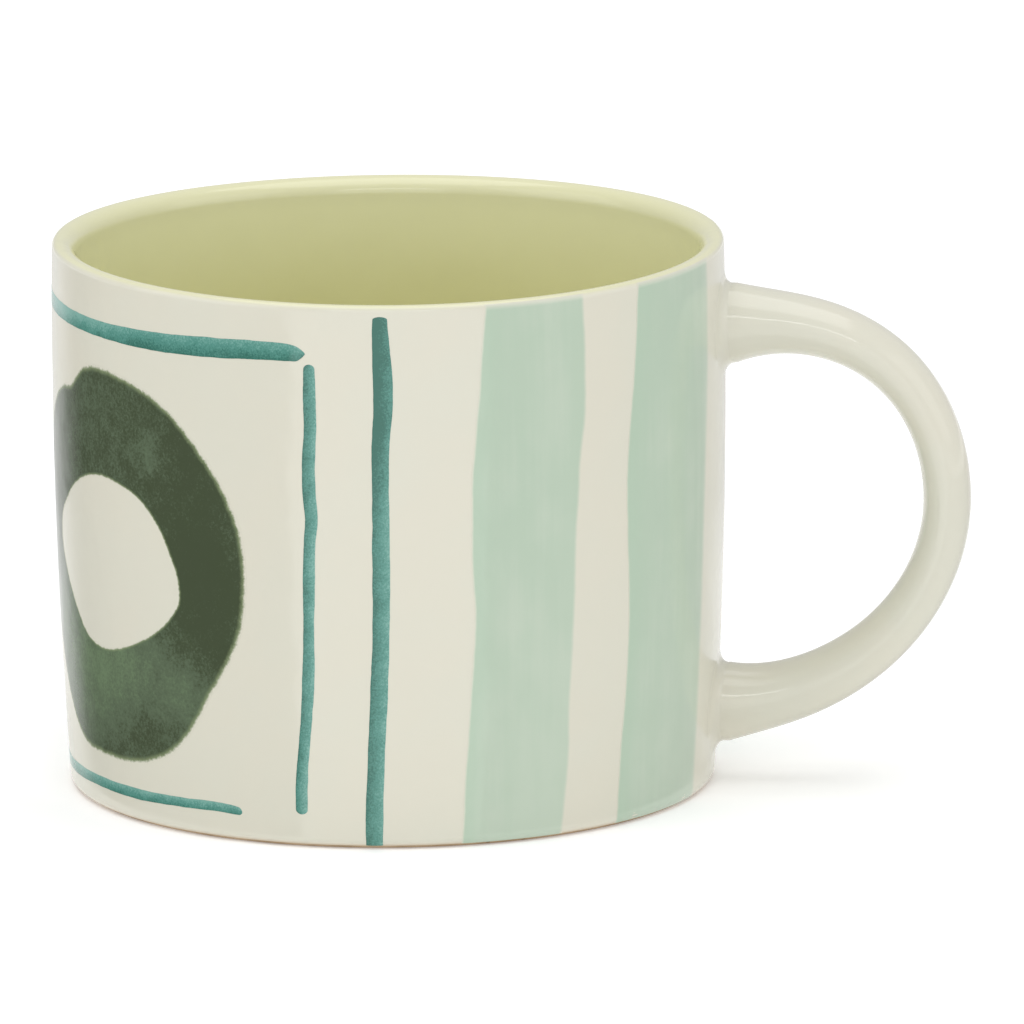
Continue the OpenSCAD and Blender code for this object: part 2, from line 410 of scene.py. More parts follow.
def handle_material():
    """The ivory glaze of the handle, away from the cup's lip and foot."""
    shader = Shader("ivory_handle_glaze", 0.2)
    shader.colour(ivory_colour(shader))
    glaze_gloss(shader)
    return shader.material


def liner_material():
    """Yellow-green glaze, thin and pale over the lip, and paler up the inside wall with painted light of the
    open top.

    The path is the distance past the lip's crest, and it is negative inside the cup."""
    shader = Shader("yellow_green_glaze", 0.2)
    clouds = shader.span(shader.noise(9 * MM, 3.0), 0.3, 0.7)
    pooled = shader.mix(clouds, YELLOW_GREEN, YELLOW_GREEN_DEEP)
    path = shader.attribute("path")
    # Paler up the inside wall towards the lip: partly thinner glaze, partly painted light of the open top
    high = shader.span(path, -22 * MM, -2 * MM, 0.0, 0.9)
    thin = shader.span(path, -6 * MM, -1 * MM)
    over = shader.mix(thin, shader.mix(high, pooled, YELLOW_GREEN_THIN_AND_LIT), LIP_PALE)
    outer = shader.span(path, 0.0, 0.8 * MM, 0.0, 0.3)
    shader.colour(shader.mix(outer, over, IVORY))
    glaze_gloss(shader)
    return shader.material


def clay_material():
    """Bare fired clay: sandy, with fine dark grains and the fine rings of a trimming tool."""
    shader = Shader("bare_stoneware", 0.75, specular=0.3)
    grain = shader.noise(0.5 * MM, 4.0, roughness=0.7)
    patch = shader.noise(6 * MM, 3.0)
    ground = shader.mix(shader.span(patch, 0.3, 0.7), CLAY, CLAY_DARK)
    specks = shader.span(shader.noise(0.8 * MM, 1.0), 0.68, 0.74, 0.0, 0.6)
    shader.colour(shader.mix(specks, ground, SPECK))
    axis = shader.node("ShaderNodeVectorMath", {0: shader.position((1.0, 1.0, 0.0))}, operation="LENGTH")
    rings = shader.math("SINE", shader.math("MULTIPLY", axis.outputs["Value"], 2 * math.pi / (0.9 * MM)))
    height = shader.math("ADD", grain, shader.math("MULTIPLY", rings, 0.15))
    shader.bump(height, 0.12 * MM)
    return shader.material


def mint_material():
    """A broad wash with faint upright brush streaks.

    It fades under the lip's glaze and at a band's soft edge."""
    shader = Shader("mint_colour", 0.2)
    across = shader.attribute("across")
    streaks = shader.noise(2.2 * MM, 3.0, stretch=(1.0, 1.0, 0.05))
    blots = shader.noise(9 * MM, 2.0)
    tone = shader.math("ADD", shader.math("MULTIPLY", streaks, 0.5), shader.math("MULTIPLY", blots, 0.5))
    drift = shader.math("ADD", tone, shader.math("MULTIPLY", across, 0.08))
    drift = shader.math("ADD", drift, shader.attribute("tone"))
    wash = shader.mix(shader.span(drift, 0.38, 0.78), MINT, MINT_PALE)
    strong = shader.span(across, -1.0, -0.5, 0.7, 0.0)
    wash = shader.mix(strong, wash, MINT_STRONG)
    density = shader.span(tone, 0.25, 0.5, 0.92, 1.0)
    cover = shader.math("MULTIPLY", shader.attribute("cover"), density, clamp=True)
    shader.colour(shader.mix(cover, ivory_colour(shader), wash))
    glaze_gloss(shader)
    return shader.material


def teal_material():
    """A brushed line: pigment lies thick along one side and thins to the other, with a fine grain."""
    shader = Shader("teal_colour", 0.2)
    grain = shader.noise(0.26 * MM, 3.0, roughness=0.7)
    drag = shader.noise(2.6 * MM, 2.0)
    lean = shader.math("MULTIPLY", shader.attribute("across"), 0.27)
    mottle = shader.math("ADD", shader.math("MULTIPLY", grain, 1.15), shader.math("MULTIPLY", drag, 0.5))
    tone = shader.math("ADD", mottle, lean)
    tone = shader.math("ADD", tone, shader.attribute("tone"))
    dark = shader.mix(shader.span(tone, 0.5, 1.0), TEAL_DARK, TEAL_MID)
    pigment = shader.mix(shader.span(tone, 0.9, 1.4), dark, TEAL_LIGHT)
    shader.colour(pigment)
    glaze_gloss(shader)
    return shader.material


def green_material():
    """A thick dark brush ring: mottled and granular, lighter where the tone says, with an olive fringe."""
    shader = Shader("dark_green_colour", 0.2)
    grain = shader.noise(0.42 * MM, 4.0, roughness=0.75)
    mottle = shader.noise(2.2 * MM, 3.0, roughness=0.6)
    tone = shader.math("ADD", shader.attribute("tone"), shader.math("MULTIPLY", mottle, 0.7))
    tone = shader.math("ADD", tone, shader.math("MULTIPLY", grain, 1.3))
    body = shader.mix(shader.span(tone, 0.8, 1.35), GREEN_DARK, GREEN_MID)
    body = shader.mix(shader.span(tone, 1.25, 1.85), body, GREEN_LIGHT)
    rough_edge = shader.math("ADD", shader.attribute("edge"), shader.math("MULTIPLY", grain, 0.8 * MM))
    pigment = shader.mix(shader.span(rough_edge, 0.7 * MM, 1.5 * MM, 0.25, 1.0), GREEN_FRINGE, body)
    ragged = shader.span(rough_edge, 0.48 * MM, 0.95 * MM)
    shader.colour(shader.mix(ragged, ivory_colour(shader), pigment))
    glaze_gloss(shader)
    return shader.material


# ---------------------------------------------------------------- the cup

WALL_ROWS = 64
FLOOR_POINTS, CORNER_POINTS = 30, 20
LIP_IN_POINTS, LIP_OUT_POINTS = 16, 10


def inside_outline(inset):
    """The drinking side from the floor's centre up to the lip, inset into the wall."""
    corner_c = wall_r(CORNER_Z) - WALL_T - CORNER_R
    floor = np.stack([np.linspace(0, corner_c, FLOOR_POINTS), np.full(FLOOR_POINTS, FLOOR_Z - inset)], 1)
    corner = arc((corner_c, CORNER_Z), CORNER_R + inset, -90, 0, CORNER_POINTS)
    z = np.linspace(CORNER_Z, LIP_IN_Z, WALL_ROWS)[:-1]
    wall = np.stack([wall_r(z) - WALL_T + inset, z], 1)
    return np.vstack([floor, corner[1:], wall[1:]])


def lip_outline(inset, end):
    """The lip from the inside wall up over the crest and down its outer curve.

    It ends at an angle above the horizontal."""
    crest = wall_r(LIP_Z) - LIP_R
    inner = arc((crest, LIP_IN_Z), LIP_IN_R - inset, 180, 90, LIP_IN_POINTS)
    outer = arc((crest, LIP_Z), LIP_R - inset, 90, end, LIP_OUT_POINTS)
    return np.vstack([inner, outer[1:]])


def make_liner(material):
    """The glaze inside the cup, which goes over the lip and meets the outer glaze."""
    air = np.vstack([inside_outline(0), lip_outline(0, LIP_JOIN)])
    clay = np.vstack([lip_outline(GLAZE_T, LIP_JOIN)[::-1], inside_outline(GLAZE_T)[::-1]])
    steps = np.linalg.norm(np.diff(air, axis=0), axis=1)
    along = np.append(0, np.cumsum(steps))
    crest = along[-1] - LIP_R * math.radians(90 - LIP_JOIN)
    path = np.append(along - crest, np.full(len(clay), -CUP_H))
    lathe("yellow_green_liner", np.vstack([air, clay]), material, ["liner_glaze"], path)


def make_outer_glaze(material):
    """The coat outside the cup, from just above the bare foot up to the inner glaze.

    It is a hair thinner than the gap that the clay leaves for it."""
    thickness = GLAZE_T * 0.95
    heights = np.concatenate(
        [
            np.linspace(GLAZE_FOOT, FOOT_ROUND, 14)[:-1],
            np.linspace(FOOT_ROUND, LIP_Z, WALL_ROWS)[:-1],
            np.linspace(LIP_Z, GLAZE_TOP, 12),
        ]
    )
    air = np.stack(outside(heights), 1)
    clay = np.stack(outside(heights[::-1], -thickness), 1)
    path = np.append(heights, heights[::-1])
    outline = np.vstack([air, clay])
    lathe("ivory_outer_glaze", outline, material, ["outer_glaze"], path, closed=True)


def make_clay_cup(material):
    """The bare clay, with a softened foot ring and a shallow hollow under the floor."""
    foot_c = wall_r(FOOT_ROUND) - FOOT_ROUND
    bare_r = FOOT_ROUND - GLAZE_T
    inner_foot = foot_c - FOOT_W
    soft = 0.6 * MM
    hollow_r = inner_foot - RECESS_H
    base = np.array([[r, RECESS_H] for r in np.linspace(0, hollow_r - soft, 24)])
    slope = arc((hollow_r - soft, RECESS_H - soft), soft, 90, 45, 6)
    foot = arc((inner_foot + soft, soft), soft, 225, 270, 6)
    edge = arc((foot_c, bare_r), bare_r, -90, 0, 16)
    z = np.linspace(FOOT_ROUND, LIP_Z, WALL_ROWS)
    wall = np.stack([wall_r(z) - GLAZE_T, z], 1)
    lip = lip_outline(GLAZE_T, 0)[::-1]
    outline = np.vstack([base, slope[1:], foot, edge, wall, lip[1:], inside_outline(GLAZE_T)[::-1]])
    lathe("stoneware_cup", outline, material, ["cup_body"])


# ---------------------------------------------------------------- the handle

HANDLE_SIDES = 64
GRIP_T, GRIP_W = 6.4 * MM, 9.8 * MM
REACH = handle_high.x - GRIP_T / 2
GRIP_Z, GRIP_PULL = 39 * MM, 14 * MM
ROOTS = {
    "upper": {"z": 62.2 * MM, "x": 43.0 * MM, "turn": (64.8 * MM, 66.2 * MM), "t": 10.7 * MM, "w": 11.0 * MM},
    "lower": {"z": 10.5 * MM, "x": 42.5 * MM, "turn": (62.5 * MM, 10.8 * MM), "t": 10.6 * MM, "w": 11.0 * MM},
}
# How far a root's fillet spreads along the wall: on the side away from the other root, and on
# the side that faces it
FILLETS = {"upper": (1.9 * MM, 1.8 * MM), "lower": (2.2 * MM, 1.8 * MM)}
FILLET_SIDE = 2.8 * MM
FILLET_OUT = 1.2 * MM
# The handle thickens gently towards a root, and then swells close to the wall by this share of the whole
FLARES = {"upper": 0.6, "lower": 0.4}
FLARE_POWER = 12
# The wall's fillet starts from a plane where the centreline stands this far off the wall
ROOT_RISE = 1.75 * MM
FILLET_ROWS = 14
HANDLE_SECTIONS = 150
# The part of the centreline over which a section turns from upright to square
SECTION_TURN = 0.25
# The glaze's ends are set this far into the wall
GLAZE_SINK = 0.03 * MM


def bezier(p, t):
    """Points at t from 0 to 1 on a cubic curve with four control points."""
    t = np.asarray(t, float)[..., None]
    p = np.array(p, float)
    return (1 - t) ** 3 * p[0] + 3 * (1 - t) ** 2 * t * p[1] + 3 * (1 - t) * t * t * p[2] + t**3 * p[3]


def handle_curves():
    """The centreline's two halves in the handle's plane, as control points (x, z).

    It runs from the upper root out to the grip, and back to the lower root."""
    upper, lower = ROOTS["upper"], ROOTS["lower"]
    out = [(upper["x"], upper["z"]), upper["turn"], (REACH, GRIP_Z + GRIP_PULL), (REACH, GRIP_Z)]
    back = [(REACH, GRIP_Z), (REACH, GRIP_Z - GRIP_PULL), lower["turn"], (lower["x"], lower["z"])]
    return out, back


def centreline(s):
    """Points for s from 0, at the upper root, through 1, at the grip, to 2, at the lower root."""
    out, back = handle_curves()
    return np.where((s < 1)[:, None], bezier(out, np.clip(s, 0, 1)), bezier(back, np.clip(s - 1, 0, 1)))


def root_plane(which):
    """The s at which the centreline stands ROOT_RISE off the wall."""
    s = np.linspace(0, 0.3, 3000) if which == "upper" else np.linspace(2, 1.7, 3000)
    points = centreline(s)
    return s[np.argmax(points[:, 0] - wall_r(points[:, 1]) > ROOT_RISE)]


def handle_sections(inset):
    """Rings of points from plane to plane.

    A section stands upright at each plane and turns square to the centreline."""
    first, last = root_plane("upper"), root_plane("lower")
    s = np.linspace(first, last, HANDLE_SECTIONS)
    centre = centreline(s)
    step = 1e-4
    way = centreline(s + step) - centreline(s - step)
    heading = np.unwrap(np.arctan2(way[:, 1], way[:, 0]))
    root = np.where(s < 1, 0.0, -math.pi)
    turn = np.clip(np.minimum((s - first) / SECTION_TURN, (last - s) / SECTION_TURN), 0, 1)
    heading = root + (heading - root) * turn * turn * (3 - 2 * turn)
    near = np.where(s < 1, (1 - s) / (1 - first), (s - 1) / (last - 1))
    flare = np.where(s < 1, FLARES["upper"], FLARES["lower"])
    share = (1 - flare) * near**2 + flare * near**FLARE_POWER
    root_t = np.where(s < 1, ROOTS["upper"]["t"], ROOTS["lower"]["t"])
    root_w = np.where(s < 1, ROOTS["upper"]["w"], ROOTS["lower"]["w"])
    half_t = (GRIP_T + (root_t - GRIP_T) * share) / 2 - inset
    half_w = (GRIP_W + (root_w - GRIP_W) * share) / 2 - inset
    a = np.arange(HANDLE_SIDES) * 2 * math.pi / HANDLE_SIDES
    up, side = half_t[:, None] * np.cos(a), half_w[:, None] * np.sin(a)
    x = centre[:, :1] - up * np.sin(heading)[:, None]
    z = centre[:, 1:] + up * np.cos(heading)[:, None]
    return np.stack([x, side, z], -1), (centre[0], centre[-1])


def off_wall(y, z, rise):
    """Points that stand rise off the cup's wall, at a place on it given by y and z."""
    r = wall_r(z) + rise
    return place(90 + np.degrees(np.arcsin(np.clip(y / r, -1, 1))), r, z)


def root_rings(ring, centre, which, inset):
    """Rings from a root's plane in to the wall: straight, and then out along a fillet."""
    out, back = handle_curves()
    away, slope = (1, (out[1][1] - out[0][1]) / (out[1][0] - out[0][0]))
    if which == "lower":
        away, slope = (-1, (back[2][1] - back[3][1]) / (back[2][0] - back[3][0]))
    y, z = ring[:, 1], ring[:, 2] - centre[1]
    spread = np.hypot(y, z)
    facing = away * z / spread
    outer, inner = FILLETS[which]
    end = np.where(facing > 0, outer, inner)
    along_wall = FILLET_SIDE + (end - FILLET_SIDE) * facing**2 + inset * 0.6
    rings = []
    for bend in np.linspace(0, 90, FILLET_ROWS):
        rise = FILLET_OUT * (1 - math.sin(math.radians(bend)))
        grow = along_wall * (1 - math.cos(math.radians(bend)))
        sink = (ROOT_RISE - rise) * slope
        scale = (spread + grow) / spread
        rings.append(off_wall(y * scale, centre[1] - sink + z * scale, rise - inset))
    return rings


def handle_rings(inset):
    """All rings of the handle, from the wall at the upper root round to the wall at the lower root."""
    sections, (upper, lower) = handle_sections(inset)
    first = root_rings(sections[0], upper, "upper", inset)[::-1]
    last = root_rings(sections[-1], lower, "lower", inset)
    return first, list(sections), last


def closed_ends(count, rings):
    """Flat faces that close the first and the last of some rings."""
    last = (rings - 1) * count
    return [tuple(range(count))[::-1], tuple(last + i for i in range(count))]


def make_handle(glaze, clay):
    """The glaze coat with its fillets, the clay loop in it, and the slip that fixes it to the wall."""
    outer = [r for part in handle_rings(0.0) for r in part]
    upper_in, loop_in, lower_in = handle_rings(GLAZE_T)
    inner = upper_in + loop_in + lower_in
    outer[0] = outer[0] - np.array([GLAZE_SINK, 0, 0])
    outer[-1] = outer[-1] - np.array([GLAZE_SINK, 0, 0])
    stack = outer + inner[::-1]
    vertices = np.array(stack).reshape(-1, 3)
    faces = ring_faces(len(stack), HANDLE_SIDES, closed=True)
    make_piece("ivory_handle_glaze", vertices, faces, glaze, ["handle_glaze"])
    solids = {
        "clay_handle": (loop_in, "handle"),
        "upper_slip_pad": (upper_in + loop_in[:1], "upper_joint_slip"),
        "lower_slip_pad": (loop_in[-1:] + lower_in, "lower_joint_slip"),
    }
    for name, (rings, node) in solids.items():
        faces = ring_faces(len(rings), HANDLE_SIDES) + closed_ends(HANDLE_SIDES, len(rings))
        make_piece(name, np.array(rings).reshape(-1, 3), faces, clay, [node])


# ---------------------------------------------------------------- the painting


def mirrored(patches, shift=0.0):
    """The same patches on the other side of the handle's plane."""
    return [(180 - angle + shift, height, marks, closed) for angle, height, marks, closed in patches]


STROKE_COLUMNS = 9
# The smallest share of its width, squared, that a stroke keeps at its very ends
STROKE_TIP = 0.02


def end_taper(along, start, end, round_start, round_end):
    """How full a stroke is near its ends, with rounded ends of the given lengths."""
    from_start = np.clip((along - start) / round_start, 0, 1)
    from_end = np.clip((end - along) / round_end, 0, 1)
    full = np.minimum(1 - (1 - from_start) ** 2, 1 - (1 - from_end) ** 2)
    return np.sqrt(np.clip(full, STROKE_TIP, 1))


def spaced(start, end, step, fine):
    """Places from start to end, closer together within fine of each end."""
    middle = np.linspace(start + fine, end - fine, max(2, int((end - start - 2 * fine) / step)))
    ends = np.sin(np.linspace(0, math.pi / 2, 9)[:-1] - math.pi / 2) + 1
    return np.concatenate([start + fine * ends, middle, end - fine * ends[::-1]])


def stroke(stations, upright, seed, rounds, rough=0.06 * MM, tones=(0.0, 0.0)):
    """A brush stroke along a line of stations (place along it, centre, width), as a patch.

    An upright stroke runs up the cup and its centre is an angle. A level one runs round it, so
    its places are angles and its centre is a height. Heights and widths are in millimetres.
    tones are the stroke's tone at its start and at its end."""
    table = np.array(stations, float)
    along_scale = MM if upright else PER_DEGREE
    start, end = table[:, 0].min() * along_scale, table[:, 0].max() * along_scale
    along = spaced(start, end, 0.4 * MM, max(max(rounds), 0.5 * MM))
    middle, width = smooth_curve(stations, along / along_scale).T
    full = end_taper(along, start, end, *rounds)
    sides = []
    for side in (-1, 1):
        broad = wander(along, 2.5 * MM, seed + side)
        fine = wander(along, 0.7 * MM, seed + 7 + side)
        ragged = rough * (broad + 0.5 * fine)
        sides.append(side * (width * MM / 2) * full + ragged * full)
    v = np.linspace(-1, 1, STROKE_COLUMNS)
    offset = sides[0][:, None] + (sides[1] - sides[0])[:, None] * (v[None, :] + 1) / 2
    if upright:
        angle = middle[:, None] + offset / PER_DEGREE
        height = np.repeat(along[:, None], STROKE_COLUMNS, 1)
    else:
        angle = np.repeat((along / PER_DEGREE)[:, None], STROKE_COLUMNS, 1)
        height = middle[:, None] * MM + offset
    share = np.clip((along - start) / (end - start), 0, 1)
    across = np.repeat(v[None, :], len(along), 0)
    change = np.clip((share - 0.6) / 0.2, 0, 1)
    change = change * change * (3 - 2 * change)
    tone = np.repeat((tones[0] + (tones[1] - tones[0]) * change)[:, None], STROKE_COLUMNS, 1)
    return angle, height, {"across": across, "tone": tone}, False


def make_teal_lines(material):
    """The two full-height lines. Stations are (height, angle, width)."""
    top, foot = 72.6, GLAZE_FOOT / MM
    seen = [
        (foot, 1.7, 2.3),
        (4, 1.75, 2.4),
        (10, 2.05, 2.3),
        (20, 2.7, 2.35),
        (30, 3.25, 2.25),
        (40, 3.4, 2.35),
        (50, 3.4, 2.2),
        (56, 3.5, 2.35),
        (60, 3.9, 2.5),
        (64, 3.95, 2.6),
        (68, 3.7, 2.35),
        (top, 3.5, 1.9),
    ]
    other = [(z, angle + 0.5 * math.sin(z / 9), width) for z, angle, width in seen]
    rounds = (0.1 * MM, 0.35 * MM)
    lines = [stroke(seen, True, 3, rounds, tones=(0.05, -0.25))]
    lines += mirrored([stroke(other, True, 21, rounds, tones=(-0.1, 0.05))])
    skin("teal_full_lines", lines, material, ["teal_lines"])


def make_teal_frame(material):
    """The frame's four strokes, which don't quite meet.

    The top and bottom strokes run round the side of the cup that has no handle."""
    top = [
        (-170.2, 67.4, 1.9),
        (-160, 67.4, 2.3),
        (-140, 67.1, 2.4),
        (-115, 66.9, 2.1),
        (-95, 66.8, 2.0),
        (-75, 66.75, 2.2),
        (-55, 66.65, 2.1),
        (-40, 66.8, 2.45),
        (-25, 67.25, 2.65),
        (-15, 67.5, 2.45),
        (-12, 67.45, 2.3),
        (-10.3, 67.3, 1.9),
        (-9.2, 67.35, 1.1),
    ]
    foot = [
        (-160, 4.3, 1.1),
        (-140, 4.0, 1.3),
        (-110, 3.7, 1.4),
        (-75, 3.8, 1.6),
        (-60, 4.05, 1.45),
        (-45, 4.15, 1.45),
        (-35, 4.4, 1.3),
        (-26, 4.5, 1.25),
        (-23, 4.3, 1.05),
        (-22.3, 4.2, 0.9),
    ]
    side = [
        (4.6, -11.05, 1.65),
        (8, -11.0, 1.7),
        (12, -10.6, 1.6),
        (18, -9.8, 1.6),
        (24, -9.3, 1.7),
        (30, -9.1, 1.45),
        (36, -8.95, 1.65),
        (42, -8.7, 1.6),
        (45, -8.35, 1.7),
        (48, -8.65, 1.8),
        (52, -8.75, 1.75),
        (58, -8.4, 1.7),
        (62, -8.5, 1.7),
        (65.95, -8.5, 1.45),
    ]
    far_side = [(z, angle - 0.6 * math.cos(z / 8), width) for z, angle, width in side]
    strokes = [
        stroke(top, False, 33, (0.9 * MM, 1.6 * MM), tones=(0.45, 0.06)),
        stroke(foot, False, 41, (0.5 * MM, 0.5 * MM), rough=0.05 * MM, tones=(0.15, 0.2)),
        stroke(side, True, 53, (0.7 * MM, 0.6 * MM), tones=(0.12, 0.06)),
    ]
    strokes += mirrored([stroke(far_side, True, 67, (0.7 * MM, 0.6 * MM), tones=(0.1, 0.0))])
    skin("teal_frame_strokes", strokes, material, ["teal_frame"])


def band(stations, seed, soft_left, soft_right):
    """A broad wash from foot to lip, as a patch.

    Stations are (height, left angle, right angle), and each side has its softness."""
    near_lip = 71 * MM
    rows = np.concatenate([np.linspace(GLAZE_FOOT, near_lip, 180), np.linspace(near_lip, GLAZE_TOP, 24)[1:]])
    left, right = smooth_curve(stations, rows / MM).T
    left_edge = 0.10 * wander(rows, 6 * MM, seed) + 0.05 * wander(rows, 1.5 * MM, seed + 2)
    right_edge = 0.14 * wander(rows, 6 * MM, seed + 4) + 0.06 * wander(rows, 1.5 * MM, seed + 6)
    left = left + left_edge * MM / PER_DEGREE
    right = right + right_edge * MM / PER_DEGREE
    edge = np.array([0, 0.15, 0.35, 0.6, 0.9, 1.3, 1.9, 2.7]) * MM
    reach = (right - left) * PER_DEGREE
    columns = [left + e / PER_DEGREE for e in edge]
    columns += [left + (right - left) * q for q in np.linspace(0.25, 0.75, 12)]
    columns += [right - e / PER_DEGREE for e in edge[::-1]]
    angle = np.stack(columns, 1)
    from_left = (angle - left[:, None]) * PER_DEGREE
    from_right = reach[:, None] - from_left
    cover = np.minimum(np.clip(from_left / soft_left, 0, 1), np.clip(from_right / soft_right, 0, 1))
    below_top = np.clip((GLAZE_TOP - rows) / (0.8 * MM), 0, 1)[:, None]
    cover = cover * (cover * -2 + 3) * cover * below_top
    across = from_left / reach[:, None] * 2 - 1
    height = np.repeat(rows[:, None], angle.shape[1], 1)
    tone = np.clip(1 - height / (45 * MM), 0, 1) * 0.22
    return angle, height, {"across": across, "cover": cover, "tone": tone}, False


def make_mint_bands(material):
    """Two bands on each side of the handle. Stations are (height, left angle, right angle)."""
    near = [
        (1, 17.1, 36.3),
        (10, 17.6, 37.2),
        (20, 18.4, 37.4),
        (30, 19.2, 38),
        (40, 18.7, 38.4),
        (50, 18.8, 39.1),
        (60, 19.9, 40.3),
        (68, 20.7, 40.2),
        (74, 21.4, 40),
    ]
    wide = [
        (1, 48.1, 73.4),
        (10, 48.5, 73.6),
        (20, 49.3, 73.8),
        (30, 49.7, 74),
        (40, 49.1, 74.4),
        (50, 49.1, 75),
        (60, 50.5, 75.8),
        (68, 51.4, 75.9),
        (74, 52, 75.9),
    ]
    near_soft, wide_soft = (0.35 * MM, 0.6 * MM), (0.3 * MM, 1.6 * MM)
    seen = [band(near, 81, *near_soft), band(wide, 91, *wide_soft)]
    bands = seen + mirrored([band(near, 101, *near_soft), band(wide, 113, *wide_soft)], 0.8)
    skin("mint_washed_bands", bands, material, ["mint_bands"])


# A ring's outer and inner outlines: (direction from its centre, anticlockwise from the right,
# and radius in mm)
RING_OUTER = [
    (0, 25.9), (20, 26.3), (40, 26.2), (60, 26.6), (80, 26.3), (101, 25.8), (111, 24.2),
    (121, 25.1), (135, 25.8), (160, 26.0), (190, 25.4), (215, 24.3), (232, 25.4), (250, 27.4),
    (268, 26.8), (285, 27.2), (300, 27.2), (312, 26.1), (322, 25.2), (345, 25.7),
]
RING_HOLE = [
    (0, 15.2), (12, 14.4), (30, 13.7), (50, 13.0), (68, 12.1), (90, 11.7), (118, 11.8),
    (138, 12.5), (152, 13.4), (166, 15.0), (178, 15.2), (192, 13.8), (206, 12.6), (222, 12.0),
    (245, 12.2), (265, 12.0), (290, 11.8), (308, 12.3), (322, 13.3), (336, 14.6), (348, 15.6),
]
# The centre of the painted side's ring: angle and height in mm
RING_AT = (-53.5, 35.05)
# The hole's edge is crisper than the outside by this factor
HOLE_CRISPNESS = 2.0
# Paler patches of a ring: direction, place from the hole at 0 to the outside at 1, size in mm and strength
RING_PALE = [
    (292, 0.12, 8.0, 0.46),
    (255, 0.35, 9.0, 0.38),
    (220, 0.45, 10.0, 0.38),
    (318, 0.75, 5.0, 0.46),
    (57, 0.5, 2.6, 0.36),
    (262, 0.85, 5.0, 0.10),
    (14, 0.92, 3.5, 0.20),
    (100, 0.6, 9.0, 0.06),
]
# Its darker patches, in the same way
RING_DARK = [
    (5, 0.4, 10.0, 0.34),
    (45, 0.8, 7.0, 0.16),
    (330, 0.75, 5.0, 0.20),
    (288, 0.75, 4.0, 0.16),
    (268, 0.95, 3.0, 0.20),
]
# The radius of the circle on which the noise of a ring's edges is read
RING_LAP = 25 * MM


def round_curve(stations, at):
    """A smooth closed curve through (direction, radius) stations."""
    table = sorted(stations)
    laps = [(t + turn, r) for turn in (-360, 0, 360) for t, r in table]
    return smooth_curve(laps, at)[:, 0]


def lap_noise(turn, size, seed):
    """Smooth noise from -1 to 1 round a ring, with bumps about size across."""
    circle = [Vector((RING_LAP * math.cos(a), RING_LAP * math.sin(a), seed)) for a in turn]
    return np.array([noise.noise(point / size) for point in circle])


def ring_patch(centre, outer, hole, seed):
    """A brush ring: rows go round it and columns from its hole to its outside."""
    t = np.arange(0, 360, 0.75)
    turn = np.radians(t)
    out = round_curve(outer, t) * MM
    inn = round_curve(hole, t) * MM
    ragged = lap_noise(turn, 1.6 * MM, seed)
    fine = lap_noise(turn, 0.6 * MM, seed + 3)
    out = out + (0.28 + 0.14 * ragged + 0.10 * fine) * MM
    inn = inn - (0.14 + 0.06 * ragged[::-1] - 0.05 * fine[::-1]) * MM
    v = np.concatenate([[0, 0.012, 0.03], np.linspace(0.06, 0.94, 30), [0.97, 0.988, 1]])
    radius = inn[:, None] + (out - inn)[:, None] * v
    x, z = radius * np.cos(turn)[:, None], radius * np.sin(turn)[:, None]
    angle, height = centre[0] + x / PER_DEGREE, centre[1] * MM + z
    edge = np.minimum(HOLE_CRISPNESS * (radius - inn[:, None]), out[:, None] - radius)
    tone = np.zeros_like(x)
    for sign, spots in ((1, RING_PALE), (-1, RING_DARK)):
        for direction, place_in, size, strength in spots:
            a = math.radians(direction)
            r = np.interp(direction, t, inn) * (1 - place_in) + np.interp(direction, t, out) * place_in
            away = np.hypot(x - r * math.cos(a), z - r * math.sin(a)) / (size * MM)
            tone += sign * strength * np.exp(-(away**2))
    return angle, height, {"tone": tone, "edge": edge}, True


def make_rings(material):
    """The painted side's ring, and one a little unlike it on the other side."""
    front = ring_patch(RING_AT, RING_OUTER, RING_HOLE, 5)
    skin("green_front_ring", [front], material, ["front_ring"])
    outer = [(t, r + 0.5 * math.sin(math.radians(3 * t + 40))) for t, r in RING_OUTER]
    hole = [(t, r + 0.6 * math.cos(math.radians(2 * t + 70))) for t, r in RING_HOLE]
    back = mirrored([ring_patch((RING_AT[0], RING_AT[1] + 0.4), outer, hole, 17)])
    skin("green_back_ring", back, material, ["back_ring"])


# ---------------------------------------------------------------- studio

VIEW_AZIMUTH, VIEW_ELEVATION, VIEW_ROLL = 4.6, 12.4, -0.44
VIEW_DISTANCE = 2.2
VIEW_WIDTH = 137.8 * MM
AIM_RIGHT, AIM_HEIGHT = 16.35 * MM, 36.15 * MM
# The floor is a light table: this is what it adds to the light that falls on it
FLOOR_GLOW = 0.2
# The light from all round
WORLD_LIGHT = 0.62
# How far the wall is turned from the camera where it starts and stops reflecting a dark card,
# and where the card starts and stops fading to pale
CARD_FROM, CARD_TO = 17, 89
FADE_FROM, FADE_TO = 64, 78
# How pale a card fades to, on its part near the mug and on its part far from it
FADE_NEAR, FADE_FAR = 1.0, 0.8
CARD_NEAR_PART = 150 * MM
# A card starts this far from the cup's axis, and lies this far above the floor
CARD_START, CARD_LIFT = 47 * MM, 0.2 * MM
CARD_LINES = 37
CARD_LENGTHS = np.array([0, 120, 180, 600]) * MM
# How pale each card is where it hasn't faded
LEFT_SHADE, RIGHT_SHADE = 0.05, 0.40


def facing(azimuth, elevation):
    """The direction from the object towards a viewer."""
    a, e = math.radians(azimuth), math.radians(elevation)
    return Vector((math.sin(a) * math.cos(e), -math.cos(a) * math.cos(e), math.sin(e)))


